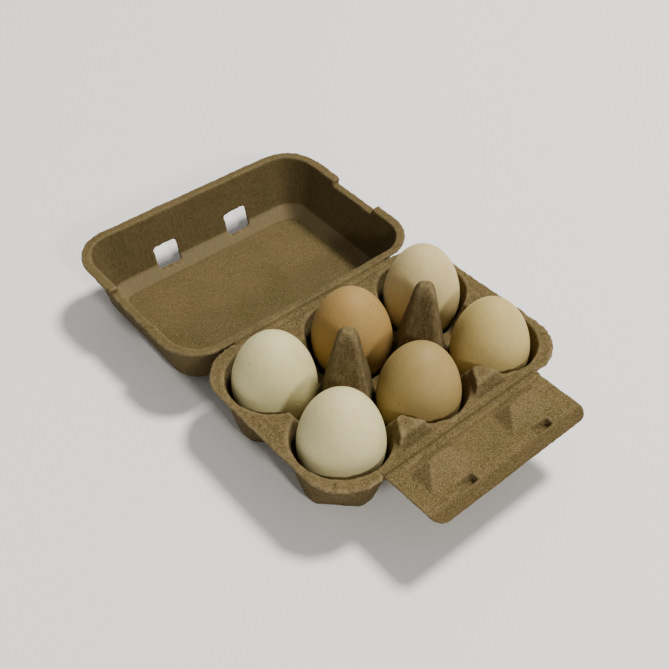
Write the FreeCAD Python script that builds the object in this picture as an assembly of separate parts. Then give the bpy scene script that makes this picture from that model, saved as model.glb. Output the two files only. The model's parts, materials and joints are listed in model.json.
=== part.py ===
"""Moulded-pulp egg carton for six eggs: a tray with six cups, a hinged lid and a hinged closure flap.

X runs along the two hinges, +Y points to the lid, +Z is up and z = 0 is the table.
The carton is modelled open. The lid and the flap lie outwards from the tray's rim.
"""
import FreeCAD, Part
import math
import os

# Driving dimensions, in millimetres and degrees.
EGG_RADIUS = 20.9            # the widest egg
EGG_HEIGHT = 57.0            # the tallest egg
EGG_TAPER = 0.115            # how much narrower the upper half of an egg is
EGG_ROOM = 3.2               # round an egg, at the rim
EGG_HEADROOM = 6.6           # from the tallest egg up to the posts' tips
EGG_CLEARANCE = 0.3
SHEET = 1.8                  # thickness of the moulded pulp
FLAP_SHEET = 1.7
TRAY_CORNER = 24.0
CELL_WEB = 1.4               # between the rims of neighbouring cups
END_LEDGE = 4.3              # from a cup's rim to the tray's end
SIDE_LEDGE = 6.1             # from a cup's rim to the tray's long side
CUP_SLOPE = 0.20             # growth of a cup's radius per millimetre of height
CUP_FOOT_INSET = 9.5         # how much narrower a cup's foot is than its rim
CUP_FOOT_HEIGHT = 6.0
CUP_FLAT_INSET = 3.0         # how far the diagonal flats cut into the foot
CUP_FLAT_SLOPE = 0.46        # growth of the flats' distance per millimetre of height
DOME_BASE_RADIUS = 8.5
DOME_TOP_RADIUS = 4.5
DOME_HEIGHT = 4.0            # rise of the dome that carries the egg, above the cup's floor
SADDLE_DROP = 15.7           # from the rim down to the webs between neighbouring cups
DIVIDER_REACH = 19.5         # from the rim's edge to the crest of a flush divider
DIVIDER_HALF = 12.0          # half the width cleared over a web
POST_TIP = 3.9               # centre to face, where the faces would meet the tip
POST_NOSE = 2.4              # centre to face, at the rounded-off tip itself
POST_NOSE_HEIGHT = 3.6
POST_TIP_RIDGE = 1.22        # centre to ridge, as a ratio of centre to face
CAP_HEIGHT = 6.0             # raised front dividers
CAP_LENGTH = 14.5
CAP_FRONT_RUN = 3.1          # how far the front face leans in, up to the top
CAP_TOP_LENGTH = 9.2
CAP_BLUNT = 1.5              # half-width of the end that points between two cups
CAP_HALF_WIDTH = 11.0
CAP_SIDE_RUN = 3.8           # how far each side leans in, up to the top
CAP_FROM_EDGE = 6.5          # from the rim's front edge to the foot of a raised divider
HINGE_RADIUS = 0.7
HINGE_FLAT = 0.05            # depth of the flat where a hinge web meets the tray
HINGE_GAP = 0.3              # running clearance round a hinge and between closed faces
LID_HINGE_INSET = 0.4        # from the tray's nominal edge to the lid's hinge line
FLAP_HINGE_INSET = 1.3
LID_TILT = 2.1               # the open lid's far edge is higher than its hinge
LID_LIFT = 0.7               # what the tilt allows the rim to be lower than the lid is deep
LID_OVER_POST = 0.6
LID_OVER_END = 2.0           # the lid is longer than the tray, at each end
LID_OVER_FLAP = 7.2          # from the flap's hinge line to the shut lid's edge
LID_CORNER = 23.0
LID_FLANGE = 5.0
LID_END_FLANGE = 5.5
LID_WALL_SLOPE = 0.3275      # lean of the long walls per millimetre of depth
LID_END_LEAN = 6.0
LID_CHAMFER_DEPTH = 6.2
LID_CHAMFER_RUN = 6.6
LID_DIP = 3.0                # depth of the thumb recess in each end of the lid's rim
LID_DIP_LENGTH = 34.0
LID_DIP_OFFSET = 3.75        # from the lid's middle to the recess's middle, towards the hinge
FLAP_CORNER = 7.0
FLAP_EDGE = 8.9              # from the middle of a latch bump to the flap's edge
FLAP_SLANT = 0.1             # how much longer the flap may be than the lid is deep, since it leans when shut
FLAP_BEVEL_GAP = 0.2         # from a latch bump's pocket to the start of the edge bevel
FLAP_BEVEL_DROP = 1.2
BUMP_REACH = 25.8            # hinge line to the middle of a latch bump
BUMP_LENGTH = 11.5
BUMP_WIDTH = 5.0
BUMP_DEPTH = 5.45
BUMP_TIP_LENGTH = 8.0
BUMP_TIP_WIDTH = 2.4
BUMP_WALL = 1.2
LATCH_PLAY = 0.35            # each side of a latch bump in its hole
LATCH_HOLE_RISE = 6.8        # how far a latch hole reaches each way from its bump
LATCH_HOLE_FALL = 5.2
RIB_HEIGHT = 4.3             # the flap's two raised hip-roof ribs
RIB_START = 7.5
RIB_LENGTH = 14.0
RIB_HALF = 15.0
RIB_TOP_IN = 1.5
RIB_TOP_LENGTH = 1.2
RIB_TOP_HALF = 6.0

# Each egg: column, row, how much less than the greatest radius and height, tilt, and where it tilts to.
EGGS = {
    "egg_back_left": (-1, 1, 0.0, 1.4, 2.0, 200.0),
    "egg_back_middle": (0, 1, 0.1, 2.2, 3.0, 150.0),
    "egg_back_right": (1, 1, 0.6, 0.5, 2.0, 95.0),
    "egg_front_left": (-1, -1, 0.1, 0.0, 1.5, 230.0),
    "egg_front_middle": (0, -1, 0.3, 3.3, 3.0, 20.0),
    "egg_front_right": (1, -1, 0.8, 3.9, 4.0, 60.0),
}

# Sizes that follow from the ones above.
CELL_RIM_RADIUS = EGG_RADIUS + EGG_ROOM
CELL_PITCH = 2 * CELL_RIM_RADIUS + CELL_WEB
CUP_FOOT_RADIUS = CELL_RIM_RADIUS - CUP_FOOT_INSET
CUP_FLAT_FOOT = CUP_FOOT_RADIUS - CUP_FLAT_INSET
TRAY_LENGTH = 2 * (CELL_PITCH + CELL_RIM_RADIUS + END_LEDGE)
TRAY_WIDTH = CELL_PITCH + 2 * (CELL_RIM_RADIUS + SIDE_LEDGE)
EGG_SEAT = SHEET + DOME_HEIGHT + EGG_CLEARANCE
FLAP_LENGTH = BUMP_REACH + FLAP_EDGE
# The lid is as deep as the eggs or the shut flap need, whichever is more. Open, it just reaches the table.
EGGS_TOP = EGG_SEAT + EGG_HEIGHT + EGG_HEADROOM
DEPTH_FOR_EGGS = (EGGS_TOP + LID_OVER_POST - SHEET + LID_LIFT) / 2
LID_DEPTH = max(DEPTH_FOR_EGGS, FLAP_LENGTH - FLAP_SLANT)
POST_HEIGHT = LID_DEPTH - LID_OVER_POST     # above the rim
RIM_HEIGHT = LID_DEPTH + SHEET - LID_LIFT
SADDLE_HEIGHT = RIM_HEIGHT - SADDLE_DROP
HINGE_SEAT = HINGE_RADIUS - HINGE_FLAT      # hinge line to the tray's edge
FLAP_WIDTH = 2 * (CELL_PITCH + HINGE_GAP)
FLAP_BEVEL_START = BUMP_REACH + BUMP_WIDTH / 2 + FLAP_BEVEL_GAP
LATCH_X = CELL_PITCH / 2                    # latch centres, each side of the middle
RIB_X = LATCH_X + BUMP_WALL
RIB_END = RIB_START + RIB_LENGTH
RIB_TOP_START = RIB_START + RIB_TOP_IN
RIB_TOP_END = RIB_TOP_START + RIB_TOP_LENGTH
LID_HINGE_HALF = CELL_PITCH + CELL_WEB
LID_LENGTH = TRAY_LENGTH + 2 * LID_OVER_END
LID_REACH = TRAY_WIDTH - LID_HINGE_INSET - FLAP_HINGE_INSET + LID_OVER_FLAP
LID_WALL_DEPTH = LID_DEPTH - LID_CHAMFER_DEPTH      # where the wall turns into the chamfer
LID_WALL_LEAN = LID_WALL_SLOPE * LID_WALL_DEPTH
LID_DIP_START = (LID_REACH - LID_DIP_LENGTH) / 2 - LID_DIP_OFFSET
LID_DIP_END = LID_DIP_START + LID_DIP_LENGTH
LATCH_HOLE_WIDTH = BUMP_LENGTH + 2 * (BUMP_WALL + LATCH_PLAY)
LATCH_HOLE_TOP = BUMP_REACH - LATCH_HOLE_RISE       # depth below the lid's rim plane
LATCH_HOLE_BOTTOM = BUMP_REACH + LATCH_HOLE_FALL

# Derived places.
BACK_EDGE = TRAY_WIDTH / 2
FRONT_EDGE = -TRAY_WIDTH / 2
LID_HINGE_Y = BACK_EDGE - LID_HINGE_INSET
FLAP_HINGE_Y = FRONT_EDGE + FLAP_HINGE_INSET
HINGE_Z = RIM_HEIGHT + HINGE_GAP / 2
LEAF_START = HINGE_RADIUS + HINGE_GAP
CELL_COLUMNS = (-1, 0, 1)
CELL_ROWS = (-1, 1)
POST_COLUMNS = (-0.5, 0.5)
OPEN_ABOVE = 60.0            # how far cutting solids reach past the pulp
MARGIN = 2.0

Vector = FreeCAD.Vector
UP = Vector(0, 0, 1)


def box(x0, x1, y0, y1, z0, z1):
    """An axis-aligned block between two corners."""
    return Part.makeBox(x1 - x0, y1 - y0, z1 - z0, Vector(x0, y0, z0))


def rounded_outline(x0, x1, y0, y1, radius, z):
    """A closed rectangle with round corners, level at height z."""
    corners = ((x1, y1, 0), (x0, y1, 90), (x0, y0, 180), (x1, y0, 270))
    arcs = []
    for x, y, start in corners:
        centre = Vector(x - math.copysign(radius, x - (x0 + x1) / 2),
                        y - math.copysign(radius, y - (y0 + y1) / 2), z)
        arcs.append(Part.Arc(Part.Circle(centre, UP, radius),
                             math.radians(start), math.radians(start + 90)).toShape())
    edges = []
    for arc, following in zip(arcs, arcs[1:] + arcs[:1]):
        edges.append(arc)
        edges.append(Part.LineSegment(arc.Vertexes[1].Point, following.Vertexes[0].Point).toShape())
    return Part.Wire(edges)


def polygon(points):
    """A closed wire through a list of corner points."""
    corners = [Vector(*point) for point in points]
    return Part.makePolygon(corners + corners[:1])


def rectangle(x, y, half_x, half_y, z):
    """A level rectangle about a centre."""
    return polygon([(x - half_x, y - half_y, z), (x + half_x, y - half_y, z),
                    (x + half_x, y + half_y, z), (x - half_x, y + half_y, z)])


def loft(*wires):
    """A straight-sided solid through level outlines."""
    return Part.makeLoft(list(wires), True, True)


def extruded(wire, z0, z1):
    """A level outline at z = 0 raised from z0 to z1."""
    face = Part.Face(wire)
    face.translate(Vector(0, 0, z0))
    return face.extrude(Vector(0, 0, z1 - z0))


def side_prism(points, x0, x1):
    """A (y, z) outline drawn out along X."""
    return Part.Face(polygon([(x0, y, z) for y, z in points])).extrude(Vector(x1 - x0, 0, 0))


def revolved(points):
    """A solid of revolution about Z from (radius, height) corners."""
    return Part.Face(polygon([(r, 0, z) for r, z in points])).revolve(Vector(), UP, 360)


# The tray's sheet is the space under its upper surface, less the same space one sheet lower.
# Each function below takes `depth`, the distance under the upper surface.

def cup_radius(z):
    """Inside radius of a cup's wall at a height."""
    return CELL_RIM_RADIUS + CUP_SLOPE * (z - RIM_HEIGHT)


def cup_space(depth):
    """The hollow of one cup, about the origin, with flats on its four diagonals."""
    floor = SHEET - depth
    shoulder = SHEET + CUP_FOOT_HEIGHT
    top = RIM_HEIGHT + MARGIN
    hollow = revolved([(0, floor), (CUP_FOOT_RADIUS + depth, floor),
                       (cup_radius(shoulder) + depth, shoulder),
                       (cup_radius(top) + depth, top), (0, top)])
    flat_foot = CUP_FLAT_FOOT + depth - CUP_FLAT_SLOPE * depth
    flat_top = flat_foot + CUP_FLAT_SLOPE * (top - floor)
    flats = loft(rectangle(0, 0, flat_foot, flat_foot, floor),
                 rectangle(0, 0, flat_top, flat_top, top))
    flats.rotate(Vector(), UP, 45)
    hollow = hollow.common(flats)
    dome = revolved([(0, floor - MARGIN), (DOME_BASE_RADIUS + MARGIN / 2 - depth / 2, floor - MARGIN),
                     (DOME_BASE_RADIUS - depth / 2, floor),
                     (DOME_TOP_RADIUS - depth / 2, floor + DOME_HEIGHT), (0, floor + DOME_HEIGHT)])
    return hollow.cut(dome)


def divider_slope(reach_in, crest, top, depth):
    """(distance, z) outline of the space above a web that climbs to a divider's crest."""
    rise = top - SADDLE_HEIGHT
    run = crest - reach_in
    lean = depth * math.hypot(rise, run) / rise
    return [(0, SADDLE_HEIGHT - depth), (reach_in + lean - depth * run / rise, SADDLE_HEIGHT - depth),
            (crest + lean + MARGIN * run / rise, top + MARGIN), (0, top + MARGIN)]


def web_space(depth):
    """The space above the low webs between the cups, out to the dividers' crests."""
    middle_x = CELL_PITCH
    middle_y = CELL_PITCH / 2
    top = RIM_HEIGHT + OPEN_ABOVE
    spaces = [box(-middle_x, middle_x, -middle_y, middle_y, SADDLE_HEIGHT - depth, top)]
    end_outline = divider_slope(middle_x, TRAY_LENGTH / 2 - DIVIDER_REACH, RIM_HEIGHT, depth)
    end_space = side_prism(end_outline, -DIVIDER_HALF, DIVIDER_HALF)
    for turn in (90, -90):
        space = end_space.copy()
        space.rotate(Vector(), UP, turn)
        spaces.append(space)
    back_outline = divider_slope(middle_y, BACK_EDGE - DIVIDER_REACH, RIM_HEIGHT, depth)
    cap_crest = -FRONT_EDGE - CAP_FROM_EDGE - CAP_FRONT_RUN - CAP_TOP_LENGTH
    front_outline = [(-y, z) for y, z in
                     divider_slope(middle_y, cap_crest, RIM_HEIGHT + CAP_HEIGHT, depth)]
    for column in POST_COLUMNS:
        x = column * CELL_PITCH
        for outline in (back_outline, front_outline):
            spaces.append(side_prism(outline, x - DIVIDER_HALF, x + DIVIDER_HALF))
    return spaces


def post_outline(apothem, z):
    """A four-faced post's section: faces on the diagonals, blunted ridges on X and Y."""
    points = []
    ridge = apothem * POST_TIP_RIDGE
    flat = apothem * math.sqrt(2) - ridge
    for quarter in range(4):
        angle = math.radians(90 * quarter)
        along = Vector(math.cos(angle), math.sin(angle), 0)
        across = Vector(-along.y, along.x, 0)
        for side in (-1, 1):
            corner = along * ridge + across * (side * flat)
            points.append((corner.x, corner.y, z))
    return polygon(points)


def post(column, depth):
    """One of the two tall posts that keep the lid off the eggs."""
    rim_apothem = math.hypot(CELL_PITCH, CELL_PITCH) / 2 - CELL_RIM_RADIUS - HINGE_GAP
    slope = (rim_apothem - POST_TIP) / POST_HEIGHT
    foot = SADDLE_HEIGHT - MARGIN - depth
    top = RIM_HEIGHT + POST_HEIGHT - depth
    shoulder = top - POST_NOSE_HEIGHT
    foot_apothem = rim_apothem + slope * (RIM_HEIGHT - foot) - depth
    shoulder_apothem = rim_apothem - slope * (shoulder - RIM_HEIGHT) - depth
    nose_apothem = POST_NOSE - depth / 2
    solid = loft(post_outline(foot_apothem, foot), post_outline(shoulder_apothem, shoulder),
                 post_outline(nose_apothem, top))
    solid.translate(Vector(column * CELL_PITCH, 0, 0))
    return solid


def cap(column, depth):
    """A raised front divider: a wedge with a sloped front face."""
    front = FRONT_EDGE + CAP_FROM_EDGE + depth
    crest_run = CAP_LENGTH - CAP_TOP_LENGTH - CAP_FRONT_RUN
    blunt = CAP_BLUNT

    def section(level, z):
        """A triangle that shrinks as `level` goes from 0 at the rim to 1 at the top."""
        half = CAP_HALF_WIDTH - CAP_SIDE_RUN * level - depth
        y0 = front + CAP_FRONT_RUN * level
        y1 = front + CAP_LENGTH - 2 * depth - crest_run * level
        x = column * CELL_PITCH
        return polygon([(x - half, y0, z), (x + half, y0, z), (x + blunt, y1, z), (x - blunt, y1, z)])

    return loft(section(-0.5, RIM_HEIGHT - CAP_HEIGHT / 2 - depth),
                section(1, RIM_HEIGHT + CAP_HEIGHT - depth))


def tray_body(depth):
    """Everything under the tray's upper surface, `depth` lower and one margin wider under the sheet."""
    spread = MARGIN if depth else 0
    half_x = TRAY_LENGTH / 2 + spread
    half_y = TRAY_WIDTH / 2 + spread
    outline = rounded_outline(-half_x, half_x, -half_y, half_y, TRAY_CORNER + spread, 0)
    body = extruded(outline, -spread, RIM_HEIGHT - depth)
    body = body.multiFuse([cap(column, depth) for column in POST_COLUMNS])
    cup = cup_space(depth)
    spaces = web_space(depth)
    for column in CELL_COLUMNS:
        for row in CELL_ROWS:
            space = cup.copy()
            space.translate(Vector(column * CELL_PITCH, row * CELL_PITCH / 2, 0))
            spaces.append(space)
    for space in spaces:
        body = body.cut(space)
    return body.multiFuse([post(column, depth) for column in POST_COLUMNS])


def make_tray():
    """The tray, with its rim cut back to the two hinges."""
    tray = tray_body(0).cut(tray_body(SHEET))
    lid_cut = box(-LID_HINGE_HALF, LID_HINGE_HALF, LID_HINGE_Y - HINGE_SEAT, BACK_EDGE + MARGIN,
                  0, HINGE_Z + MARGIN)
    flap_half = FLAP_WIDTH / 2 + 2 * HINGE_GAP
    flap_cut = box(-flap_half, flap_half, FRONT_EDGE - MARGIN, FLAP_HINGE_Y + HINGE_SEAT,
                   0, HINGE_Z + MARGIN)
    return tray.cut(lid_cut).cut(flap_cut)


def hinge_web(y, half_length, towards_tray):
    """The bead of pulp that a leaf folds about, with a flat side seated on the tray's edge."""
    bead = Part.makeCylinder(HINGE_RADIUS, 2 * half_length, Vector(-half_length, y, HINGE_Z),
                             Vector(1, 0, 0))
    face = y + towards_tray * HINGE_SEAT
    beyond = face + towards_tray * MARGIN
    low, high = min(face, beyond), max(face, beyond)
    bead = bead.cut(box(-half_length, half_length, low, high, HINGE_Z - MARGIN, HINGE_Z + MARGIN))
    above = box(-half_length, half_length, y - MARGIN, y + MARGIN, RIM_HEIGHT + HINGE_GAP / 2,
                RIM_HEIGHT + MARGIN)
    return bead.cut(above)


# The lid and the flap are made flat in their own frames: the hinge line is at the origin,
# the leaf reaches along +Y, and z = 0 is the face that is level with the tray's rim.

def basin(grow, lower):
    """The lid's hollow, widened by `grow` on every side and deepened by `lower`."""
    half = LID_LENGTH / 2 - LID_END_FLANGE
    radius = LID_CORNER - LID_FLANGE
    near = LID_FLANGE + LEAF_START / 2
    far = LID_REACH - LID_FLANGE
    long_slope = LID_WALL_LEAN / LID_WALL_DEPTH
    end_slope = LID_END_LEAN / LID_WALL_DEPTH

    def outline(end_in, long_in, corner, z):
        """The hollow's outline, drawn in from its rim by two distances."""
        return rounded_outline(-half + end_in - grow, half - end_in + grow,
                               near + long_in - grow, far - long_in + grow, corner + grow, z)

    rim = outline(-end_slope * MARGIN, -long_slope * MARGIN, radius, MARGIN)
    shoulder = outline(LID_END_LEAN, LID_WALL_LEAN, radius * 0.75, -LID_WALL_DEPTH - lower / 2)
    floor = outline(LID_END_LEAN + LID_CHAMFER_RUN, LID_WALL_LEAN + LID_CHAMFER_RUN, radius * 0.5,
                    -LID_DEPTH - lower)
    return loft(rim, shoulder, floor)


def make_lid():
    """The lid: a flanged basin with a thumb recess at each end and two latch holes."""
    half = LID_LENGTH / 2
    flange = extruded(rounded_outline(-half, half, LEAF_START, LID_REACH, LID_CORNER, 0), -SHEET, 0)
    above = box(-half - MARGIN, half + MARGIN, -MARGIN, LID_REACH + MARGIN, 0, OPEN_ABOVE)
    shell = basin(SHEET, SHEET).cut(above).fuse(flange)
    recess_in = half - LID_END_FLANGE - MARGIN
    for side in (-1, 1):
        x0, x1 = sorted((side * recess_in, side * (half + MARGIN)))
        edge0, edge1 = sorted((side * recess_in, side * (half - 1)))
        shell = shell.cut(box(x0, x1, LID_DIP_START, LID_DIP_END, -LID_DIP, MARGIN))
        shell = shell.fuse(box(edge0, edge1, LID_DIP_START, LID_DIP_END, -LID_DIP - SHEET, -LID_DIP))
    lid = shell.cut(basin(0, 0))
    for side in (-1, 1):
        x = side * LATCH_X
        lid = lid.cut(box(x - LATCH_HOLE_WIDTH / 2, x + LATCH_HOLE_WIDTH / 2,
                          LID_REACH - LID_FLANGE - LID_WALL_LEAN - LID_CHAMFER_RUN, LID_REACH,
                          -LATCH_HOLE_BOTTOM, -LATCH_HOLE_TOP))
    return lid


def flap_body(depth):
    """Everything under the flap's upper face, `depth` lower."""
    spread = MARGIN if depth else 0
    half = FLAP_WIDTH / 2 + spread
    bottom = -BUMP_DEPTH - 2 * FLAP_SHEET - spread
    outer = rounded_outline(-half, half, LEAF_START - 3 * FLAP_CORNER, FLAP_LENGTH + spread,
                            FLAP_CORNER + spread, 0)
    body = extruded(outer, bottom, -depth)
    if not depth:
        body = body.cut(box(-half, half, -OPEN_ABOVE, LEAF_START, bottom, 0))
    run = FLAP_LENGTH - FLAP_BEVEL_START
    drop = FLAP_BEVEL_DROP / run
    beyond = FLAP_LENGTH + 2 * MARGIN
    bevel = side_prism([(FLAP_BEVEL_START, -depth), (beyond, -depth - drop * (run + 2 * MARGIN)),
                        (beyond, MARGIN), (FLAP_BEVEL_START, MARGIN)], -half - MARGIN, half + MARGIN)
    body = body.cut(bevel)
    for side in (-1, 1):
        rib = loft(rectangle(side * RIB_X, (RIB_START + RIB_END) / 2, RIB_HALF - depth,
                             (RIB_END - RIB_START) / 2 - depth, -depth),
                   rectangle(side * RIB_X, (RIB_TOP_START + RIB_TOP_END) / 2, RIB_TOP_HALF - depth / 2,
                             (RIB_TOP_END - RIB_TOP_START) / 2 - depth / 5, RIB_HEIGHT - depth))
        body = body.fuse(rib)
        wall = BUMP_WALL if depth else 0
        pocket = loft(rectangle(side * LATCH_X, BUMP_REACH, BUMP_TIP_LENGTH / 2 + wall,
                                BUMP_TIP_WIDTH / 2 + wall, -BUMP_DEPTH - depth),
                      rectangle(side * LATCH_X, BUMP_REACH, BUMP_LENGTH / 2 + wall,
                                BUMP_WIDTH / 2 + wall, -depth))
        body = body.cut(pocket)
    return body


def make_flap():
    """The closure flap: a flat leaf with two raised ribs and two hollow latch bumps."""
    return flap_body(0).cut(flap_body(FLAP_SHEET))


def egg(radius, height, tilt, heading):
    """An egg standing on its blunt end, tilted about its middle."""
    points = []
    count = 24
    for step in range(count + 1):
        turn = math.pi * step / count
        r = radius * math.sin(turn) * (1 + EGG_TAPER * math.cos(turn) - EGG_TAPER ** 2 / 2)
        points.append(Vector(r, 0, -height / 2 * math.cos(turn)))
    side = Part.BSplineCurve()
    side.interpolate(points, InitialTangent=Vector(1, 0, 0), FinalTangent=Vector(-1, 0, 0))
    axis = Part.LineSegment(points[-1], points[0])
    solid = Part.Face(Part.Wire([side.toShape(), axis.toShape()])).revolve(Vector(), UP, 360)
    direction = math.radians(heading)
    solid.rotate(Vector(), Vector(-math.sin(direction), math.cos(direction), 0), tilt)
    return solid


def seated_egg(column, row, narrower, shorter, tilt, heading):
    """An egg in its cup, its lowest point just above the cup's dome."""
    height = EGG_HEIGHT - shorter
    solid = egg(EGG_RADIUS - narrower, height, tilt, heading)
    solid.translate(Vector(column * CELL_PITCH, row * CELL_PITCH / 2, EGG_SEAT + height / 2))
    return solid


def solid_of(shape):
    """A shape's single solid, tidied."""
    shape = shape.removeSplitter()
    solids = shape.Solids
    if len(solids) != 1:
        raise RuntimeError("expected one solid, got %d" % len(solids))
    return solids[0]


def build():
    """Every piece by name, in the open pose."""
    pieces = {"tray": solid_of(make_tray())}
    lid = solid_of(make_lid())
    lid.translate(Vector(0, 0, -HINGE_GAP / 2))
    lid.rotate(Vector(), Vector(1, 0, 0), LID_TILT)
    lid.translate(Vector(0, LID_HINGE_Y, HINGE_Z))
    pieces["lid"] = lid
    flap = solid_of(make_flap())
    flap.rotate(Vector(), UP, 180)
    flap.translate(Vector(0, FLAP_HINGE_Y, RIM_HEIGHT))
    pieces["closure_flap"] = flap
    pieces["lid_hinge_web"] = solid_of(hinge_web(LID_HINGE_Y, LID_HINGE_HALF - HINGE_GAP, -1))
    pieces["flap_hinge_web"] = solid_of(hinge_web(FLAP_HINGE_Y, FLAP_WIDTH / 2, 1))
    for name, values in EGGS.items():
        pieces[name] = seated_egg(*values)
    return pieces


def centred(pieces):
    """Move every piece so that the origin is under the middle of the open carton."""
    whole = Part.makeCompound(list(pieces.values())).optimalBoundingBox(False, False)
    shift = Vector(-(whole.XMin + whole.XMax) / 2, -(whole.YMin + whole.YMax) / 2, 0)
    for shape in pieces.values():
        shape.translate(shift)
    return shift


def main():
    """Write each piece to its own STEP file."""
    os.makedirs("parts", exist_ok=True)
    pieces = build()
    shift = centred(pieces)
    print("shift y %.4f" % shift.y)
    for name, shape in pieces.items():
        box_now = shape.optimalBoundingBox(False, False)
        print("%-18s valid %s volume %8.1f x %.2f %.2f y %.2f %.2f z %.2f %.2f" % (
            name, shape.isValid(), shape.Volume, box_now.XMin, box_now.XMax, box_now.YMin,
            box_now.YMax, box_now.ZMin, box_now.ZMax))
        shape.exportStep("parts/%s.step" % name)


main()
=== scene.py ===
"""Looks of a moulded-pulp egg carton: brown pulp, creased hinges, loose fibres and six eggs."""
import json
import math

import bmesh
import bpy
import numpy as np
from bpy.props import FloatProperty, FloatVectorProperty, IntProperty, PointerProperty
from bpy.types import Operator, Panel, PropertyGroup
from mathutils import Euler, Matrix, Vector, noise


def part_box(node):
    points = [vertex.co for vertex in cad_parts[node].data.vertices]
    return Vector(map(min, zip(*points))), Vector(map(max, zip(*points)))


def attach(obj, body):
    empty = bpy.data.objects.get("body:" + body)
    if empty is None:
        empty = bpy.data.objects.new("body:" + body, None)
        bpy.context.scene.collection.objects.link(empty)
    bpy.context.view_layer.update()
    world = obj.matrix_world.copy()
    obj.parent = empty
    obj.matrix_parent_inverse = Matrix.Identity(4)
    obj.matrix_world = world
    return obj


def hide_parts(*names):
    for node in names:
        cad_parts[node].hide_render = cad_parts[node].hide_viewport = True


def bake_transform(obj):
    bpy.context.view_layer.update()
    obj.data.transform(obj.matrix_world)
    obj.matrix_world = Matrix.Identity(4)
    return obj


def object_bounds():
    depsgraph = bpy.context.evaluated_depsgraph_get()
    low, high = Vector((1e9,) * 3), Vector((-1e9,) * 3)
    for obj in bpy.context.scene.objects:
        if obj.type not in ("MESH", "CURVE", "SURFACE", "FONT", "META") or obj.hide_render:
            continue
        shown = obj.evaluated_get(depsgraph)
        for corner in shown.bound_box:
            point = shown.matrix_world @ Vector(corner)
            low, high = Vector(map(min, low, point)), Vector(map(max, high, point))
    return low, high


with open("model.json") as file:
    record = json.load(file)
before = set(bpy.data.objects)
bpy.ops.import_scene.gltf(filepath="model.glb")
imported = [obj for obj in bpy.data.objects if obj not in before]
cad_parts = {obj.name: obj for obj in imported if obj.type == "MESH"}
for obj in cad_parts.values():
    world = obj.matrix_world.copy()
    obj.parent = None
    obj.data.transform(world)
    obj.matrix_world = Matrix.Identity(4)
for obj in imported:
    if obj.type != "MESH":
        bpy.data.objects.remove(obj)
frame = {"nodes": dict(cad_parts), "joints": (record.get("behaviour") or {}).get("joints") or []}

bl_info = {
    "name": "Egg carton",
    "version": (1, 0, 0),
    "blender": (4, 5, 0),
    "location": "View3D > Sidebar > Egg carton",
    "description": "Builds a moulded-pulp egg carton with its eggs and a small studio",
    "category": "Object",
}

CAD_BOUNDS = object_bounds()
MM = 0.001

# Places read from the frame.
JOINTS = {joint["name"]: joint for joint in frame["joints"]}
LID_HINGE = Vector(JOINTS["lid_fold"]["pos_m"])
FLAP_HINGE = Vector(JOINTS["flap_fold"]["pos_m"])
CLOSED_GAP = 0.3 * MM
RIM_Z = LID_HINGE.z - CLOSED_GAP / 2
TRAY_LOW, TRAY_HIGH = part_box("tray")
TRAY_MIDDLE = (TRAY_LOW + TRAY_HIGH) / 2
LID_TILT = math.radians(180 + JOINTS["lid_fold"]["range_deg"][0])
LID_FLAT = Matrix.Translation(LID_HINGE) @ Matrix.Rotation(LID_TILT, 4, "X")
LID_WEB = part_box("lid_hinge_web")
FLAP_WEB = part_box("flap_hinge_web")

# Sizes the frame doesn't state.
LATCH_SPREAD = 24.8 * MM  # middle of the carton to a latch, along the hinges
LATCH_REACH = 24.8 * MM  # hinge edge of the flap to a latch
HOLE_DEPTH = 25.15 * MM  # lid's rim to the middle of a latch hole
HOLE_HALF_WIDTH = 7.3 * MM
HOLE_HALF_HEIGHT = 6.0 * MM
LID_HALF_LENGTH = 80 * MM
FAR_WALL = 80 * MM  # hinge to where the lid's far wall starts
RECESS_START = 34 * MM  # hinge to the near end of a thumb recess
RECESS_END = 76 * MM
CHAMFER_DEPTH = 27.2 * MM  # lid's rim to the top of the inner chamfer
CUP_RADIUS = 24.1 * MM  # outer wall of a cup at the rim
CUP_SLOPE = 0.2
CUP_REACH = 34 * MM  # egg to the farthest rim that belongs to its cup
FLAP_BAND = 5.6 * MM  # width of the flap's pressed edge
LID_FOLDS = (4.4 * MM, 5.6 * MM, 6.8 * MM)  # hinge to the folds pressed into the lid
FIBRE_THICKNESS = 0.085 * MM
LAMP_DISTANCE = 2.75
LAMP_COLOUR = (1.0, 0.97, 0.90)

# Creases across the rim's corners: turn from the diagonal in degrees, and depth in millimetres,
# for each end (-1 left, 1 right) and row (-1 front, 1 back).
RIM_CRIMPS = {
    (-1, 1): ((-34, 0.35), (14, 0.25), (47, 0.45)),
    (-1, -1): ((-31, 0.35), (-2, 0.55), (11, 0.25)),
    (1, 1): ((-22, 0.40), (27, 0.30)),
    (1, -1): ((-30, 0.35), (13, 0.95)),
}

# Hinge strips, in millimetres: where they end, the place and depth of each fold, and the thickness.
LID_STRIP = ((-4.2, 4.2), ((-3.0, 0.70), (-1.7, 0.80), (0.0, 1.0), (1.6, 0.80), (2.9, 0.70)), 1.80)
FLAP_STRIP = ((-4.4, 3.9), ((-2.9, 0.18), (0.0, 1.35)), 1.95)

# Lean of each egg and the heading it leans towards, in degrees.
EGG_TILTS = {
    "egg_back_left": (2.0, 200.0),
    "egg_back_middle": (3.0, 150.0),
    "egg_back_right": (2.0, 95.0),
    "egg_front_left": (1.5, 230.0),
    "egg_front_middle": (3.0, 20.0),
    "egg_front_right": (4.0, 60.0),
}


# ---- settings

def colour_property(name, default, description):
    """A linear RGB colour setting."""
    return FloatVectorProperty(name=name, description=description, default=default, size=3,
                               min=0.0, max=1.0, subtype="COLOR")


def length_property(name, default, description):
    """A length setting in metres."""
    return FloatProperty(name=name, description=description, default=default, min=0.0,
                         precision=5, subtype="DISTANCE", unit="LENGTH")


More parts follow.
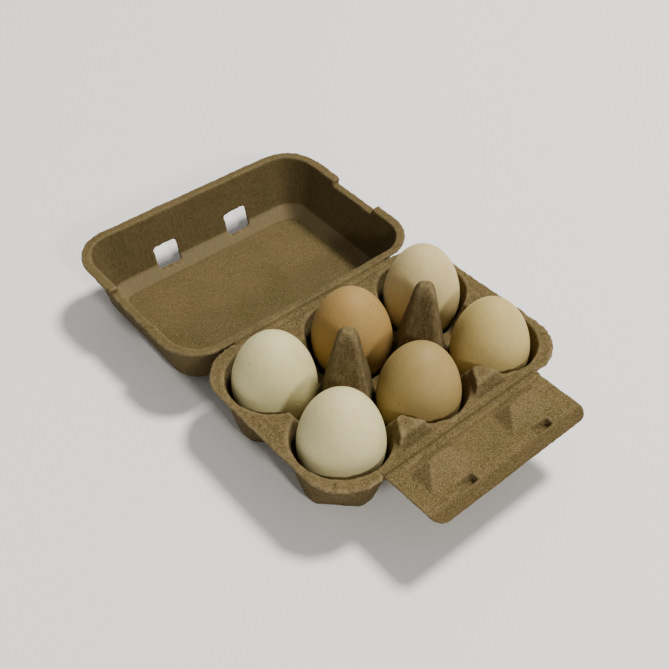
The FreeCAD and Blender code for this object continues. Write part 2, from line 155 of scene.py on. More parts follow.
class PulpSettings(PropertyGroup):
    """Shape and colour of the moulded pulp."""
    tray_grid: length_property("Tray grid", 1.07 * MM, "Cell size of the tray's remeshed surface")
    lid_grid: length_property("Lid grid", 0.86 * MM, "Cell size of the lid's remeshed surface")
    flap_grid: length_property("Flap grid", 0.52 * MM, "Cell size of the flap's remeshed surface")
    warp: length_property("Warp", 0.28 * MM, "How far the drying sheet wanders from true")
    pitting: length_property("Pitting", 0.050 * MM, "Depth of the lumps in the surface")
    colour: colour_property("Pulp colour", (0.125, 0.089, 0.036), "Unbleached brown pulp")
    pale: colour_property("Pale fibre colour", (0.215, 0.163, 0.083), "Washed-out fibres")
    # This colour serves both the flecks and the painted shade.
    fleck_and_shade: colour_property("Dark fleck colour", (0.040, 0.026, 0.010), "Bark and ink flecks")
    fibre_density: FloatProperty(name="Fibre density", default=9000.0, min=0.0,
                                 description="Loose fibres on each square metre of surface")
    fibre_length: length_property("Fibre length", 2.6 * MM, "Length of the longest loose fibre")
    seed: IntProperty(name="Seed", default=7, description="Seed of everything scattered")


class EggSettings(PropertyGroup):
    """Shell colours and texture of the six eggs."""
    egg_back_left: colour_property("Back left", (0.63, 0.565, 0.285), "White shell")
    egg_back_middle: colour_property("Back middle", (0.350, 0.220, 0.070), "Tan shell")
    egg_back_right: colour_property("Back right", (0.58, 0.465, 0.220), "Cream shell")
    egg_front_left: colour_property("Front left", (0.65, 0.58, 0.300), "White shell")
    egg_front_middle: colour_property("Front middle", (0.33, 0.235, 0.085), "Light tan shell")
    egg_front_right: colour_property("Front right", (0.515, 0.39, 0.148), "Cream shell")
    taper: FloatProperty(name="Taper", default=0.115, min=0.0, max=0.3,
                         description="How much narrower the upper half is")
    lumps: length_property("Lumps", 0.09 * MM, "Slow unevenness of the shell")


class StageSettings(PropertyGroup):
    """Floor, lights and camera."""
    floor: colour_property("Floor colour", (0.93, 0.93, 0.92), "Pale studio floor")
    overhead: FloatProperty(name="Overhead light", default=106.0, min=0.0, unit="POWER",
                            description="Power of the broad light above the right end")
    front: FloatProperty(name="Front light", default=34.4, min=0.0, unit="POWER",
                         description="Power of the smaller light in front")
    ambient: FloatProperty(name="Ambient", default=0.30, min=0.0,
                           description="Strength of the even light all round")


# ---- mesh helpers

def object_from_mesh(name, mesh):
    """Link a mesh to the scene as a new object at the origin."""
    piece = bpy.data.objects.new(name, mesh)
    bpy.context.scene.collection.objects.link(piece)
    return piece


def baked(piece, name):
    """A plain mesh of an object with its modifiers applied, as a new object."""
    bpy.context.view_layer.update()
    graph = bpy.context.evaluated_depsgraph_get()
    mesh = bpy.data.meshes.new_from_object(piece.evaluated_get(graph), depsgraph=graph)
    mesh.name = name
    old = piece.data
    bpy.data.objects.remove(piece)
    if old.users == 0:
        bpy.data.meshes.remove(old)
    return object_from_mesh(name, mesh)


def points_of(mesh):
    """Vertex positions as an array."""
    co = np.empty(len(mesh.vertices) * 3)
    mesh.vertices.foreach_get("co", co)
    return co.reshape(-1, 3)


def normals_of(mesh):
    """Vertex normals as an array."""
    co = np.empty(len(mesh.vertices) * 3, np.float32)
    mesh.vertex_normals.foreach_get("vector", co)
    return co.reshape(-1, 3).astype(float)


def set_points(mesh, co):
    """Write vertex positions back."""
    mesh.vertices.foreach_set("co", co.ravel())
    mesh.update()


def marks_of(mesh):
    """The stored marks of each point, in four columns: worn, painted shade, steep, and one minus
    the painted sheen.
    """
    colours = np.empty(len(mesh.vertices) * 4, np.float32)
    mesh.color_attributes["marks"].data.foreach_get("color", colours)
    return colours.reshape(-1, 4)


def set_marks(mesh, colours):
    """Write the marks of each point back."""
    mesh.color_attributes["marks"].data.foreach_set("color", colours.ravel())


def rounded_off(mesh, passes):
    """Even out a mesh without shrinking it: each pass smooths, then gives the lost volume back."""
    edges = np.empty(len(mesh.edges) * 2, np.int64)
    mesh.edges.foreach_get("vertices", edges)
    a, b = edges.reshape(-1, 2).T
    co = points_of(mesh)
    count = len(co)
    degree = np.bincount(a, minlength=count) + np.bincount(b, minlength=count)
    for _ in range(passes):
        for factor in (0.5, -0.52):
            total = np.empty_like(co)
            for axis in range(3):
                total[:, axis] = (np.bincount(a, co[b, axis], count)
                                  + np.bincount(b, co[a, axis], count))
            co += factor * (total / degree[:, None] - co)
    set_points(mesh, co)


def noise_at(co, size, offset):
    """Smooth noise from -1 to 1, with features of a given size."""
    scale = 1 / size
    shift = Vector(offset)
    return np.array([noise.noise(Vector(p) * scale + shift) for p in co])


def warped(mesh, amount, offset):
    """Bend the sheet gently, both faces together, as pulp does when it dries."""
    co = points_of(mesh)
    size = 26 * MM
    shift = Vector(offset)
    moves = np.array([noise.noise_vector(Vector(p) / size + shift) for p in co])
    set_points(mesh, co + moves * amount)


def closing_height(mesh, tilt):
    """Heights of a mesh over the plane where the shut carton's faces meet, and its normal."""
    normal = np.array([0, -math.sin(tilt), math.cos(tilt)])
    return (points_of(mesh) - np.array(LID_HINGE)) @ normal + CLOSED_GAP / 2, normal


def kept_clear(mesh, tilt, start):
    """Keep the faces that meet when the carton shuts within their share of the gap."""
    height, normal = closing_height(mesh, tilt)
    over = np.where(start < 0.10 * MM, np.maximum(height - 0.09 * MM, 0), 0)
    set_points(mesh, points_of(mesh) - over[:, None] * normal)


def kept_inside(mesh):
    """Keep every point inside the overall size."""
    set_points(mesh, np.clip(points_of(mesh), list(CAD_BOUNDS[0]), list(CAD_BOUNDS[1])))


def pitted(mesh, depth, edge, offset):
    """Raise and sink the surface in lumps of three sizes, more so along its worn edges."""
    co = points_of(mesh)
    worn = marks_of(mesh)[:, 0]
    fine = 1.0 * noise_at(co, 2.6 * MM, offset) + 0.7 * noise_at(co, 1.3 * MM, offset)
    slow = 1.6 * noise_at(co, 7 * MM, offset)
    height = slow * (1 + 0.5 * edge * worn) + fine * (1 + edge * worn) - 0.5 * edge * worn
    set_points(mesh, co + normals_of(mesh) * (height * depth)[:, None])
    kept_inside(mesh)


def creased(mesh, start, end, width, depth, reach):
    """Press a groove into the upper surface along a line, fading at both ends."""
    co = points_of(mesh)
    start, end = np.array(start), np.array(end)
    along = (end - start)[:2]
    length = np.hypot(*along)
    along = along / length
    rel = co[:, :2] - start[:2]
    t = rel @ along
    across = rel @ np.array([-along[1], along[0]])
    fade = np.clip(np.minimum(t, length - t) / (0.2 * length), 0, 1)
    near = np.abs(co[:, 2] - (start[2] + end[2]) / 2) < reach
    lips = np.exp(-((np.abs(across) / width - 1.7) / 0.7) ** 2)
    dip = np.exp(-(across / width) ** 2) - 0.45 * lips
    co[:, 2] -= dip * fade * near * depth
    set_points(mesh, co)


def surface_marks(mesh, reach):
    """Store how worn and how steep each point of the surface is, and the painted shade of its
    hollows, from 0 to 1.
    """
    edges = np.empty(len(mesh.edges) * 2, np.int64)
    mesh.edges.foreach_get("vertices", edges)
    a, b = edges.reshape(-1, 2).T
    co = points_of(mesh)
    normals = normals_of(mesh)
    count = len(co)
    degree = (np.bincount(a, minlength=count) + np.bincount(b, minlength=count)).astype(float)

    def averaged(values, passes):
        """Even a value out over neighbouring points."""
        for _ in range(passes):
            total = np.bincount(a, values[b], count) + np.bincount(b, values[a], count)
            values = 0.5 * values + 0.5 * total / degree
        return values

    broad = np.stack([averaged(co[:, axis], reach) for axis in range(3)], axis=1)
    bulge = averaged(((co - broad) * normals).sum(1), 1) / MM
    worn = np.clip((bulge - 0.05) / 0.30, 0, 1)
    # A hollow's depth becomes the strength of the painted shade there.
    painted_shade = np.clip((-bulge - 0.04) / 0.30, 0, 1)
    steep = averaged(1 - np.abs(normals[:, 2]), 3)
    colours = np.stack([worn, painted_shade, steep, np.ones(count)], axis=1)
    mesh.color_attributes.new("marks", "FLOAT_COLOR", "POINT")
    set_marks(mesh, colours)


def remeshed_copy(node, name, grid, passes):
    """A merged and evenly remeshed copy of a CAD node, its edges worn round."""
    mesh = frame["nodes"][node].data.copy()
    mesh.materials.clear()
    shell = bmesh.new()
    shell.from_mesh(mesh)
    bmesh.ops.remove_doubles(shell, verts=shell.verts, dist=1e-6)
    shell.to_mesh(mesh)
    shell.free()
    piece = object_from_mesh(name + "_source", mesh)
    remesh = piece.modifiers.new("grid", "REMESH")
    remesh.mode = "VOXEL"
    remesh.voxel_size = grid
    remesh.adaptivity = 0.0
    piece = baked(piece, name)
    rounded_off(piece.data, passes)
    return piece


def smooth_shaded(mesh):
    """Shade every face smooth."""
    mesh.polygons.foreach_set("use_smooth", np.ones(len(mesh.polygons), bool))
    mesh.update()


def swept_strip(name, sections):
    """A closed tube of quads through equal rings of points, with both ends capped."""
    rings = len(sections)
    size = len(sections[0])
    verts = [point for ring in sections for point in ring]
    faces = []
    for r in range(rings - 1):
        for s in range(size):
            t = (s + 1) % size
            faces.append((r * size + s, r * size + t, (r + 1) * size + t, (r + 1) * size + s))
    faces.append(tuple(reversed(range(size))))
    faces.append(tuple((rings - 1) * size + s for s in range(size)))
    mesh = bpy.data.meshes.new(name)
    mesh.from_pydata(verts, [], faces)
    shell = bmesh.new()
    shell.from_mesh(mesh)
    bmesh.ops.recalc_face_normals(shell, faces=shell.faces)
    shell.to_mesh(mesh)
    shell.free()
    smooth_shaded(mesh)
    return object_from_mesh(name, mesh)


# ---- node helpers

class Nodes:
    """Short calls for building a node tree."""

    def __init__(self, tree):
        self.tree = tree

    def add(self, kind, **values):
        """Add a node and set its properties, and its inputs by name or number."""
        node = self.tree.nodes.new(kind)
        inputs = values.pop("inputs", {})
        for key, value in values.items():
            setattr(node, key, value)
        for key, value in inputs.items():
            if isinstance(value, bpy.types.NodeSocket):
                self.tree.links.new(value, node.inputs[key])
            else:
                node.inputs[key].default_value = value
        return node

    def math(self, operation, a, b=0.0, c=0.0, clamp=False):
        """A math node's result."""
        node = self.tree.nodes.new("ShaderNodeMath")
        node.operation = operation
        node.use_clamp = clamp
        for slot, value in zip(node.inputs, (a, b, c)):
            if isinstance(value, bpy.types.NodeSocket):
                self.tree.links.new(value, slot)
            else:
                slot.default_value = value
        return node.outputs[0]

    def ramp(self, factor, low, high):
        """A smooth step from 0 at `low` to 1 at `high`."""
        node = self.add("ShaderNodeMapRange", interpolation_type="SMOOTHSTEP",
                        inputs={"Value": factor, "From Min": low, "From Max": high,
                                "To Min": 0.0, "To Max": 1.0})
        return node.outputs["Result"]

    def mix(self, factor, a, b):
        """A colour mix."""
        node = self.tree.nodes.new("ShaderNodeMix")
        node.data_type = "RGBA"
        for slot, value in ((node.inputs[0], factor), (node.inputs[6], a), (node.inputs[7], b)):
            if isinstance(value, bpy.types.NodeSocket):
                self.tree.links.new(value, slot)
            elif isinstance(value, float):
                slot.default_value = value
            else:
                slot.default_value = (*value, 1.0)
        return node.outputs[2]

    def noise(self, place, scale, detail=2.0, roughness=0.5):
        """A noise texture's value."""
        return self.add("ShaderNodeTexNoise",
                        inputs={"Vector": place, "Scale": scale, "Detail": detail,
                                "Roughness": roughness}).outputs["Fac"]


def new_material(name):
    """An empty material with its output and surface shader."""
    material = bpy.data.materials.new(name)
    material.use_nodes = True
    material.node_tree.nodes.clear()
    nodes = Nodes(material.node_tree)
    shader = nodes.add("ShaderNodeBsdfPrincipled")
    nodes.add("ShaderNodeOutputMaterial", inputs={"Surface": shader.outputs["BSDF"]})
    return material, nodes, shader


def fleck_mask(nodes, place, scale, share, size, stretch):
    """Sparse specks: a few of the cells of a Voronoi pattern carry one, longer than it is wide."""
    wobble = nodes.add("ShaderNodeTexNoise", inputs={"Vector": place, "Scale": scale * 1.7,
                                                     "Detail": 1.0})
    bent = nodes.add("ShaderNodeVectorMath", operation="MULTIPLY_ADD",
                     inputs={0: wobble.outputs["Color"], 1: (stretch / scale,) * 3, 2: place})
    cells = nodes.add("ShaderNodeTexVoronoi", feature="F1",
                      inputs={"Vector": bent.outputs[0], "Scale": scale, "Randomness": 1.0})
    chosen = nodes.add("ShaderNodeSeparateColor", inputs={0: cells.outputs["Color"]})
    picked = nodes.math("GREATER_THAN", chosen.outputs[0], 1.0 - share)
    spot = nodes.ramp(cells.outputs["Distance"], size, size * 0.45)
    return nodes.math("MULTIPLY", picked, spot)


def pulp_material(name, settings, tone, roughness, grain, contrast, streaks=0.30):
    """Moulded pulp: speckled brown, paler on worn edges, with painted shade in hollows and on steep
    sides, and a painted sheen on marked slopes.
    """
    material, nodes, shader = new_material(name)
    place = nodes.add("ShaderNodeTexCoord").outputs["Object"]
    base = [channel * tone for channel in settings.colour]
    pale = [channel * tone for channel in settings.pale]
    fleck_and_shade = list(settings.fleck_and_shade)

    cloud = nodes.noise(place, 38, 3.0, 0.6)
    mottle = nodes.noise(place, 330, 3.0, 0.6)
    grit = nodes.noise(place, 1750, 2.0, 0.7)
    felt = nodes.noise(place, 3100, 2.0, 0.7)
    shade = [channel * share for channel, share in zip(base, (0.82, 0.87, 0.76))]
    colour = nodes.mix(nodes.ramp(cloud, 0.30, 0.72), shade, base)
    light = nodes.math("MULTIPLY", nodes.ramp(mottle, 0.48, 0.76), 0.22 * contrast)
    colour = nodes.mix(light, colour, pale)
    light = nodes.math("MULTIPLY", nodes.ramp(grit, 0.50, 0.68), 0.85 * contrast)
    colour = nodes.mix(light, colour, pale)
    deep = nodes.math("MULTIPLY", nodes.ramp(grit, 0.49, 0.31), 0.85 * contrast)
    colour = nodes.mix(deep, colour, fleck_and_shade)
    deep = nodes.math("MULTIPLY", nodes.ramp(felt, 0.50, 0.30), 0.60 * contrast)
    colour = nodes.mix(deep, colour, fleck_and_shade)
    specks = fleck_mask(nodes, place, 900, 0.16, 0.36, 0.35)
    colour = nodes.mix(nodes.math("MULTIPLY", specks, 0.60 * contrast), colour, fleck_and_shade)
    strands = fleck_mask(nodes, place, 520, 0.16, 0.20, 0.9)
    colour = nodes.mix(nodes.math("MULTIPLY", strands, 0.55 * contrast), colour, pale)
    dots = fleck_mask(nodes, place, 520, 0.13, 0.22, 0.3)
    colour = nodes.mix(nodes.math("MULTIPLY", dots, 0.75 * contrast), colour, fleck_and_shade)
    bark = fleck_mask(nodes, place, 210, 0.035, 0.13, 0.5)
    colour = nodes.mix(nodes.math("MULTIPLY", bark, 0.85), colour, fleck_and_shade)
    marks = nodes.add("ShaderNodeAttribute", attribute_name="marks", attribute_type="GEOMETRY")
    worn, painted_shade, steep = nodes.add("ShaderNodeSeparateColor",
                                    inputs={0: marks.outputs["Color"]}).outputs
    side = nodes.ramp(steep, 0.10, 0.75)
    drawn = nodes.add("ShaderNodeMapping",
                      inputs={"Vector": place, "Scale": (1.0, 1.0, 0.09)}).outputs[0]
    streak = nodes.math("MULTIPLY", nodes.ramp(nodes.noise(drawn, 700, 2.0, 0.6), 0.42, 0.66), side)
    patchy = nodes.math("MULTIPLY_ADD", nodes.ramp(mottle, 0.35, 0.65), 0.7, 0.3)
    # Painted shade: steep sides are made darker.
    colour = nodes.mix(nodes.math("MULTIPLY", side, 0.30), colour, fleck_and_shade)
    colour = nodes.mix(nodes.math("MULTIPLY", streak, streaks), colour, pale)
    rubbed = nodes.math("MULTIPLY", worn, patchy)
    colour = nodes.mix(nodes.math("MULTIPLY", rubbed, 0.80), colour, pale)
    # Painted shade: darker in hollows, on the cups' outer walls and on the flap's marked edge and
    # facets.
    colour = nodes.mix(nodes.math("MULTIPLY", painted_shade, 0.60), colour, fleck_and_shade)
    # Painted sheen: marked slopes are made paler and greyer, from the pale fibre colour.
    pressed = nodes.math("SUBTRACT", 1.0, marks.outputs["Alpha"])
    painted_sheen = (pale[0], pale[1] * 1.02, pale[2] * 1.12)
    colour = nodes.mix(nodes.math("MULTIPLY", pressed, 0.42), colour, painted_sheen)
    nodes.tree.links.new(colour, shader.inputs["Base Color"])

    rough = nodes.math("MULTIPLY_ADD", felt, 0.12, roughness - 0.06)
    nodes.tree.links.new(rough, shader.inputs["Roughness"])
    shader.inputs["Specular IOR Level"].default_value = 0.10

    relief = nodes.math("MULTIPLY_ADD", felt, 0.5, grit)
    relief = nodes.math("MULTIPLY_ADD", specks, -0.3, relief)
    relief = nodes.math("MULTIPLY_ADD", strands, 0.25, relief)
    bump = nodes.add("ShaderNodeBump", inputs={"Height": relief, "Strength": grain,
                                               "Distance": 0.20 * MM})
    nodes.tree.links.new(bump.outputs[0], shader.inputs["Normal"])
    return material


def shell_material(name, colour, seed):
    """Eggshell: faint mottling, pores, and specks on the browner ones."""
    material, nodes, shader = new_material(name)
    coordinates = nodes.add("ShaderNodeTexCoord").outputs["Object"]
    place = nodes.add("ShaderNodeMapping", inputs={"Vector": coordinates,
                                                   "Location": (seed * 0.37, 0.0, 0.0)}).outputs[0]
    red, green, blue = colour
    brownness = min(max((red - blue) / red * 1.4, 0.0), 1.0)
    deep = (red * 0.90, green * 0.84, blue * 0.76)
    light = (min(red * 1.04, 1.0), min(green * 1.06, 1.0), min(blue * 1.10, 1.0))
    cloud = nodes.noise(place, 38, 3.0, 0.55)
    mottle = nodes.noise(place, 260, 3.0, 0.6)
    pores = nodes.noise(place, 1350, 2.0, 0.6)
    tone = nodes.mix(nodes.ramp(cloud, 0.35, 0.70), tuple(colour), light)
    tone = nodes.mix(nodes.math("MULTIPLY", nodes.ramp(mottle, 0.58, 0.32), 0.32), tone, deep)
    tone = nodes.mix(nodes.math("MULTIPLY", nodes.ramp(pores, 0.46, 0.28), 0.5), tone, deep)
    specks = fleck_mask(nodes, place, 240, 0.05 + 0.10 * brownness, 0.14, 0.2)
    brown = (red * 0.42, green * 0.30, blue * 0.20)
    tone = nodes.mix(nodes.math("MULTIPLY", specks, 0.20 + 0.55 * brownness), tone, brown)
    nodes.tree.links.new(tone, shader.inputs["Base Color"])
    rough = nodes.math("MULTIPLY_ADD", mottle, 0.14, 0.50)
    nodes.tree.links.new(rough, shader.inputs["Roughness"])
    shader.inputs["Specular IOR Level"].default_value = 0.22
    shader.inputs["Subsurface Weight"].default_value = 0.12
    shader.inputs["Subsurface Radius"].default_value = (1.0, 0.6, 0.35)
    shader.inputs["Subsurface Scale"].default_value = 1.2 * MM
    pimples = nodes.noise(place, 520, 2.0, 0.6)
    relief = nodes.math("MULTIPLY_ADD", mottle, 1.2, pores)
    relief = nodes.math("MULTIPLY_ADD", pimples, 1.6, relief)
    bump = nodes.add("ShaderNodeBump", inputs={"Height": relief, "Strength": 0.55,
                                               "Distance": 0.11 * MM})
    nodes.tree.links.new(bump.outputs[0], shader.inputs["Normal"])
    return material


def floor_material(colour):
    """A matt pale floor with a barely visible grain."""
    material, nodes, shader = new_material("studio_floor")
    place = nodes.add("ShaderNodeTexCoord").outputs["Object"]
    grain = nodes.noise(place, 60, 2.0, 0.5)
    shade = tuple(channel * 0.985 for channel in colour)
    nodes.tree.links.new(nodes.mix(grain, shade, tuple(colour)), shader.inputs["Base Color"])
    shader.inputs["Roughness"].default_value = 0.8
    return material


# ---- geometry-node trees

def new_geometry_tree(name, sockets):
    """A geometry-node tree with named inputs: the tree, its helper, and its end nodes."""
    tree = bpy.data.node_groups.new(name, "GeometryNodeTree")
    tree.interface.new_socket("Geometry", in_out="INPUT", socket_type="NodeSocketGeometry")
    for label, kind in sockets:
        tree.interface.new_socket(label, in_out="INPUT", socket_type=kind)
    tree.interface.new_socket("Geometry", in_out="OUTPUT", socket_type="NodeSocketGeometry")
    nodes = Nodes(tree)
    return tree, nodes, nodes.add("NodeGroupInput"), nodes.add("NodeGroupOutput")


def set_inputs(modifier, values):
    """Set a geometry-node modifier's inputs through their sockets' identifiers."""
    for item in modifier.node_group.interface.items_tree:
        if item.item_type == "SOCKET" and item.in_out == "INPUT" and item.name in values:
            modifier[item.identifier] = values[item.name]


def finish_tree(nodes, geometry, group_in, group_out):
    """End a tree in real geometry with its material set."""
    real = nodes.add("GeometryNodeRealizeInstances", inputs={0: geometry})
    painted = nodes.add("GeometryNodeSetMaterial",
                        inputs={"Geometry": real.outputs[0],
                                "Material": group_in.outputs["Material"]})
    nodes.tree.links.new(painted.outputs[0], group_out.inputs[0])


def egg_tree():
    """An egg from a rule: a ball stretched upwards and narrowed towards its top."""
    tree, nodes, group_in, group_out = new_geometry_tree("egg_form", [
        ("Radius", "NodeSocketFloat"), ("Height", "NodeSocketFloat"), ("Taper", "NodeSocketFloat"),
        ("Lumps", "NodeSocketFloat"), ("Seed", "NodeSocketFloat"),
        ("Material", "NodeSocketMaterial")])
    value = group_in.outputs
    ball = nodes.add("GeometryNodeMeshIcoSphere", inputs={"Radius": 1.0, "Subdivisions": 6})
    place = nodes.add("GeometryNodeInputPosition").outputs[0]
    split = nodes.add("ShaderNodeSeparateXYZ", inputs={0: place})
    x, y, z = split.outputs
    narrowing = nodes.math("SUBTRACT", 1.0, nodes.math("MULTIPLY", value["Taper"], z))
    half_square = nodes.math("MULTIPLY", nodes.math("POWER", value["Taper"], 2.0), 0.5)
    width = nodes.math("MULTIPLY", nodes.math("SUBTRACT", narrowing, half_square), value["Radius"])
    lump = nodes.add("ShaderNodeTexNoise", noise_dimensions="4D",
                     inputs={"Vector": place, "W": value["Seed"], "Scale": 1.1, "Detail": 1.0})
    swell = nodes.math("MULTIPLY", nodes.math("SUBTRACT", lump.outputs["Fac"], 0.5), value["Lumps"])
    width = nodes.math("ADD", width, swell)
    half = nodes.math("MULTIPLY", value["Height"], 0.5)
    shaped = nodes.add("ShaderNodeCombineXYZ",
                       inputs={0: nodes.math("MULTIPLY", x, width),
                               1: nodes.math("MULTIPLY", y, width),
                               2: nodes.math("MULTIPLY", z, half)})
    moved = nodes.add("GeometryNodeSetPosition", inputs={"Geometry": ball.outputs["Mesh"],
                                                         "Position": shaped.outputs[0]})
    smooth = nodes.add("GeometryNodeSetShadeSmooth", inputs={"Geometry": moved.outputs[0]})
    finish_tree(nodes, smooth.outputs[0], group_in, group_out)
    return tree


def fibre_tree():
    """Short bent fibres felted onto a surface, each lying flat and half sunk."""
    tree, nodes, group_in, group_out = new_geometry_tree("felted_fibres", [
        ("Density", "NodeSocketFloat"), ("Length", "NodeSocketFloat"),
        ("Thickness", "NodeSocketFloat"), ("Seed", "NodeSocketInt"),
        ("Material", "NodeSocketMaterial")])
    value = group_in.outputs
    points = nodes.add("GeometryNodeDistributePointsOnFaces",
                       inputs={"Mesh": value["Geometry"], "Density": value["Density"],
                               "Seed": value["Seed"]})
    arc = nodes.add("GeometryNodeCurveQuadraticBezier",
                    inputs={"Resolution": 6, "Start": (-0.5, 0.0, -0.04),
                            "Middle": (0.0, 0.34, 0.05), "End": (0.5, 0.0, -0.04)})
    profile = nodes.add("GeometryNodeCurvePrimitiveCircle",
                        inputs={"Resolution": 4, "Radius": nodes.math("DIVIDE", value["Thickness"],
                                                                      value["Length"])})
    strand = nodes.add("GeometryNodeCurveToMesh",
                       inputs={"Curve": arc.outputs[0], "Profile Curve": profile.outputs[0],
                               "Fill Caps": True})
    turn = nodes.add("FunctionNodeRandomValue", data_type="FLOAT",
                     inputs={2: 0.0, 3: math.tau, "Seed": value["Seed"]})
    spin = nodes.add("ShaderNodeCombineXYZ", inputs={2: turn.outputs[1]})
    size = nodes.add("FunctionNodeRandomValue", data_type="FLOAT",
                     inputs={2: 0.35, 3: 1.0, "Seed": nodes.math("ADD", value["Seed"], 11.0)})
    scale = nodes.math("MULTIPLY", size.outputs[1], value["Length"])
    twist = nodes.add("FunctionNodeRotateRotation", rotation_space="LOCAL",
                      inputs={0: points.outputs["Rotation"], 1: spin.outputs[0]})
    placed = nodes.add("GeometryNodeInstanceOnPoints",
                       inputs={"Points": points.outputs["Points"], "Instance": strand.outputs[0],
                               "Rotation": twist.outputs[0], "Scale": scale})
    finish_tree(nodes, placed.outputs[0], group_in, group_out)
    return tree


def tree_named(name, maker):
    """A node tree, made once."""
    return bpy.data.node_groups.get(name) or maker()


# ---- operators

class CartonOperator:
    """What every operator of this file shares."""
    bl_options = {"REGISTER", "UNDO"}

    def finish_pulp(self, piece, material, body, *nodes):
        """Give a pulp piece its material, tie it to its body when it has one, and hide its CAD
        nodes.
        """
        smooth_shaded(piece.data)
        piece.data.materials.append(material)
        if body:
            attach(piece, body)
        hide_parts(*nodes)


class CARTON_OT_tray(CartonOperator, Operator):
    """Mould the tray with its cups, posts and dividers"""
    bl_idname = "carton.add_tray"
    bl_label = "Tray"

    def execute(self, context):
        pulp = context.scene.carton_pulp
        piece = remeshed_copy("tray", "tray_pulp", pulp.tray_grid, 3)
        start = closing_height(piece.data, 0.0)[0]
        self.crimp(piece.data)
        surface_marks(piece.data, 6)
        self.paint_cup_wall_shade(piece.data)
        warped(piece.data, pulp.warp, (3.1, 0.4, 1.7))
        pitted(piece.data, pulp.pitting, 7.0, (0.2, 5.0, 2.0))
        kept_clear(piece.data, 0.0, start)
        material = pulp_material("pulp_tray", pulp, tone=1.04, roughness=0.90,
                                 grain=0.9, contrast=1.0)
        self.finish_pulp(piece, material, "tray", "tray")
        return {"FINISHED"}

    def paint_cup_wall_shade(self, mesh):
        """Paint shade on the cups' outer walls below the rim."""
        co = points_of(mesh)
        normals = normals_of(mesh)
        colours = marks_of(mesh)
        outside = np.zeros(len(co), bool)
        for name in EGG_TILTS:
            low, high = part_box(name)
            rel = co[:, :2] - np.array((low + high) / 2)[:2]
            reach = np.hypot(*rel.T)
            wall = CUP_RADIUS + CUP_SLOPE * (co[:, 2] - RIM_Z) + 0.9 * MM
            outward = (rel * normals[:, :2]).sum(1) > 0.3 * reach
            outside |= (reach > wall) & outward & (reach < CUP_REACH)
        lower = np.clip((RIM_Z - 1.5 * MM - co[:, 2]) / (1.5 * MM), 0, 1)
        # Painted shade on the outer walls, stored with the hollows' painted shade.
        colours[:, 1] = np.clip(colours[:, 1] + 0.42 * outside * lower, 0, 1)
        set_marks(mesh, colours)

    def crimp(self, mesh):
        """Press the rim's creases: across the corners, along the end dividers, by the hinges."""
        half_x = (TRAY_HIGH.x - TRAY_LOW.x) / 2
        for side in (-1, 1):
            x = side * (half_x - 7.4 * MM)
            creased(mesh, (x, TRAY_MIDDLE.y - 11 * MM, RIM_Z), (x, TRAY_MIDDLE.y + 11 * MM, RIM_Z),
                    0.9 * MM, 0.4 * MM, 3 * MM)
            for row in (-1, 1):
                low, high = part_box("egg_%s_%s" % ("back" if row > 0 else "front",
                                                 "right" if side > 0 else "left"))
                cup = (low + high) / 2
                for turn, depth in RIM_CRIMPS[side, row]:
                    angle = math.atan2(row, side) + math.radians(turn)
                    step = Vector((math.cos(angle), math.sin(angle)))
                    near = cup.to_2d() + step * 24.6 * MM
                    far = cup.to_2d() + step * 33.5 * MM
                    creased(mesh, (*near, RIM_Z), (*far, RIM_Z), 1.1 * MM, depth * MM, 4 * MM)
        for hinge, side in ((LID_HINGE, -1), (FLAP_HINGE, 1)):
            y = hinge.y + side * 4.9 * MM
            creased(mesh, (TRAY_LOW.x + 14 * MM, y, RIM_Z), (TRAY_HIGH.x - 14 * MM, y, RIM_Z),
                    0.7 * MM, 0.4 * MM, 2 * MM)


